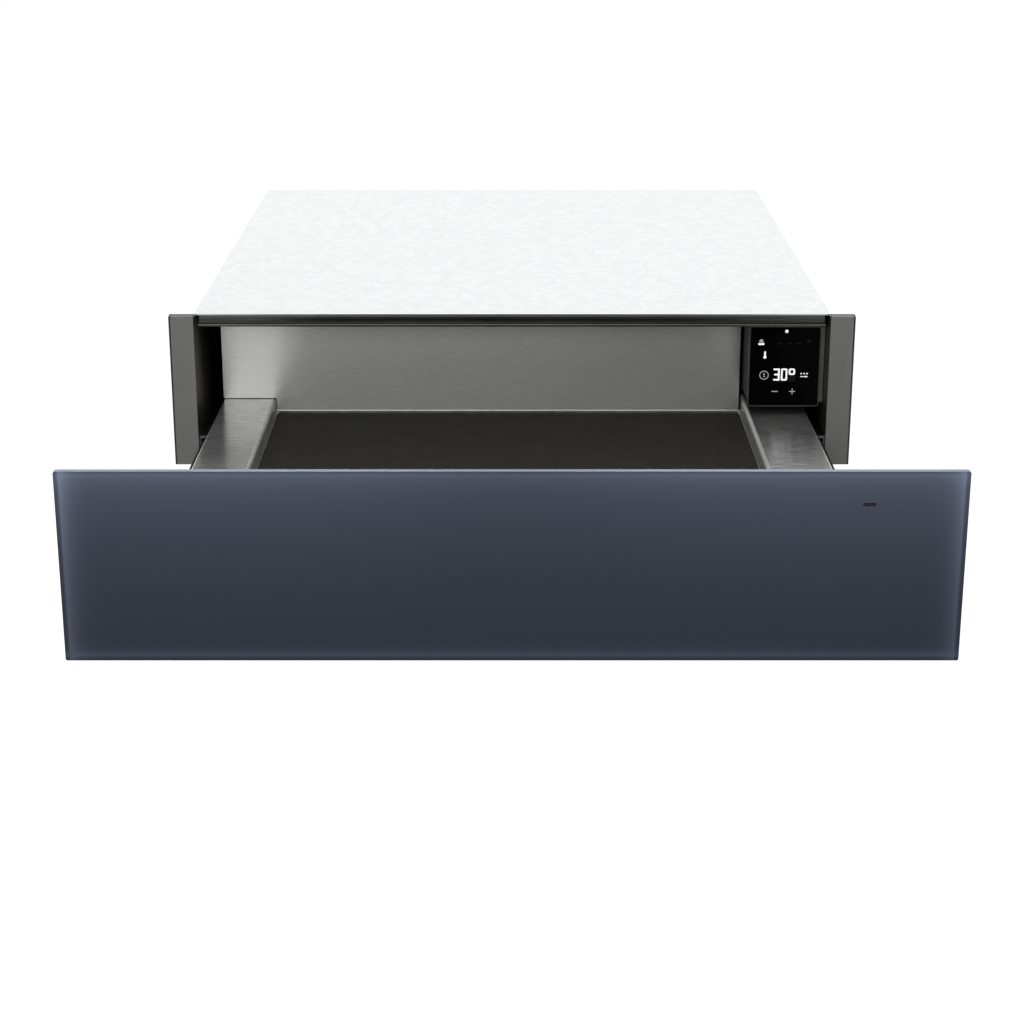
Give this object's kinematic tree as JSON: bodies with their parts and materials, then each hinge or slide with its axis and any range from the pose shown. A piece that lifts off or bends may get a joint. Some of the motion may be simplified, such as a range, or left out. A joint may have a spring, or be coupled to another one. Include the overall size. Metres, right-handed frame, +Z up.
{
  "type": "built-in warming drawer",
  "caption": "Built-in warming drawer: a blue-grey glass front on a brushed-steel drawer with an anti-slip mat, open on telescopic slides in a low casing with touch controls.",
  "frame": {"origin": "middle of the casing's underside, where it stands in its niche", "axes": "+X to the right along the front, +Y into the niche, +Z up; the front faces -Y"},
  "size_m": [0.597, 0.893, 0.1348],
  "materials": {
    "zinc_sheet": "zinc-coated sheet steel",
    "upright_paint": "satin grey paint",
    "beam_paint": "dark satin paint",
    "slide_steel": "rolled zinc-plated steel",
    "ball_steel": "polished balls in a steel strip",
    "drawer_steel": "brushed stainless steel",
    "front_paint_glass": "blue-grey glass, painted on its back",
    "carrier_steel": "painted sheet steel",
    "mat_rubber": "matt anti-slip rubber",
    "touch_black": "black glass",
    "black_plastic": "moulded, satin",
    "bezel_plastic": "moulded, satin grey",
    "window_plastic": "smoked clear plastic",
    "bond_foam": "foam bonding tape",
    "insulation_fibre": "pressed mineral fibre",
    "heater_sheath": "dull heat-stained sheath",
    "board_laminate": "circuit board with its components",
    "white_plastic": "moulded, satin",
    "screw_steel": "zinc-plated"
  },
  "bodies": {
    "casing": {"base_pan": "zinc_sheet", "left_side_panel": "zinc_sheet", "right_side_panel": "zinc_sheet", "top_panel": "zinc_sheet", "rear_panel": "zinc_sheet", "rear_partition": "zinc_sheet", "front_beam": "beam_paint", "left_upright": "upright_paint", "right_upright": "upright_paint", "left_slide_outer": "slide_steel", "right_slide_outer": "slide_steel", "insulation_board": "insulation_fibre", "heating_element": "heater_sheath", "heater_cradles": "slide_steel", "thermal_cutout": "black_plastic", "temperature_probe": "heater_sheath", "power_board": "board_laminate", "board_standoffs": "white_plastic", "terminal_block": "white_plastic", "cord_gland": "black_plastic", "control_housing": "black_plastic", "control_bezel": "bezel_plastic", "touch_glass": "touch_black", "control_board": "board_laminate", "display_module": "black_plastic", "control_bracket": "upright_paint", "left_latch_body": "black_plastic", "right_latch_body": "black_plastic", "casing_screws": "screw_steel"},
    "drawer": {"left_side_profile": "drawer_steel", "right_side_profile": "drawer_steel", "drawer_base": "drawer_steel", "back_wall": "drawer_steel", "anti_slip_mat": "mat_rubber", "front_glass": "front_paint_glass", "bonding_frame": "bond_foam", "front_carrier": "carrier_steel", "front_liner": "drawer_steel", "light_guide": "window_plastic", "left_front_bracket": "slide_steel", "right_front_bracket": "slide_steel", "front_screws": "screw_steel", "left_slide_runner": "slide_steel", "right_slide_runner": "slide_steel", "latch_strikers": "black_plastic"},
    "left_middle_rail": {"left_slide_middle": "slide_steel"},
    "left_outer_cage": {"left_outer_ball_cage": "ball_steel"},
    "left_inner_cage": {"left_inner_ball_cage": "ball_steel"},
    "left_plunger": {"left_latch_plunger": "white_plastic"},
    "right_middle_rail": {"right_slide_middle": "slide_steel"},
    "right_outer_cage": {"right_outer_ball_cage": "ball_steel"},
    "right_inner_cage": {"right_inner_ball_cage": "ball_steel"},
    "right_plunger": {"right_latch_plunger": "white_plastic"}
  },
  "joints": [
    {"name": "drawer_slide", "type": "slide", "parent": "casing", "child": "drawer", "axis": [0, -1, 0], "range_m": [-0.354, 0.046]},
    {"name": "left_middle_rail_slide", "type": "slide", "parent": "casing", "child": "left_middle_rail", "axis": [0, -1, 0], "range_m": [-0.1775, 0.0235]},
    {"name": "left_outer_cage_slide", "type": "slide", "parent": "casing", "child": "left_outer_cage", "axis": [0, -1, 0], "range_m": [-0.089, 0.012]},
    {"name": "left_inner_cage_slide", "type": "slide", "parent": "casing", "child": "left_inner_cage", "axis": [0, -1, 0], "range_m": [-0.266, 0.035]},
    {"name": "left_latch_press", "type": "slide", "parent": "casing", "child": "left_plunger", "axis": [0, 1, 0], "range_m": [0, 0.004], "stiffness_N_per_m": 300, "springref_m": -0.006},
    {"name": "right_middle_rail_slide", "type": "slide", "parent": "casing", "child": "right_middle_rail", "axis": [0, -1, 0], "range_m": [-0.1775, 0.0235]},
    {"name": "right_outer_cage_slide", "type": "slide", "parent": "casing", "child": "right_outer_cage", "axis": [0, -1, 0], "range_m": [-0.089, 0.012]},
    {"name": "right_inner_cage_slide", "type": "slide", "parent": "casing", "child": "right_inner_cage", "axis": [0, -1, 0], "range_m": [-0.266, 0.035]},
    {"name": "right_latch_press", "type": "slide", "parent": "casing", "child": "right_plunger", "axis": [0, 1, 0], "range_m": [0, 0.004], "stiffness_N_per_m": 300, "springref_m": -0.006}
  ],
  "couplings": [
    {"joint": "left_middle_rail_slide", "follows": "drawer_slide", "ratio": 0.5},
    {"joint": "left_outer_cage_slide", "follows": "drawer_slide", "ratio": 0.25},
    {"joint": "left_inner_cage_slide", "follows": "drawer_slide", "ratio": 0.75},
    {"joint": "right_middle_rail_slide", "follows": "drawer_slide", "ratio": 0.5},
    {"joint": "right_outer_cage_slide", "follows": "drawer_slide", "ratio": 0.25},
    {"joint": "right_inner_cage_slide", "follows": "drawer_slide", "ratio": 0.75}
  ]
}
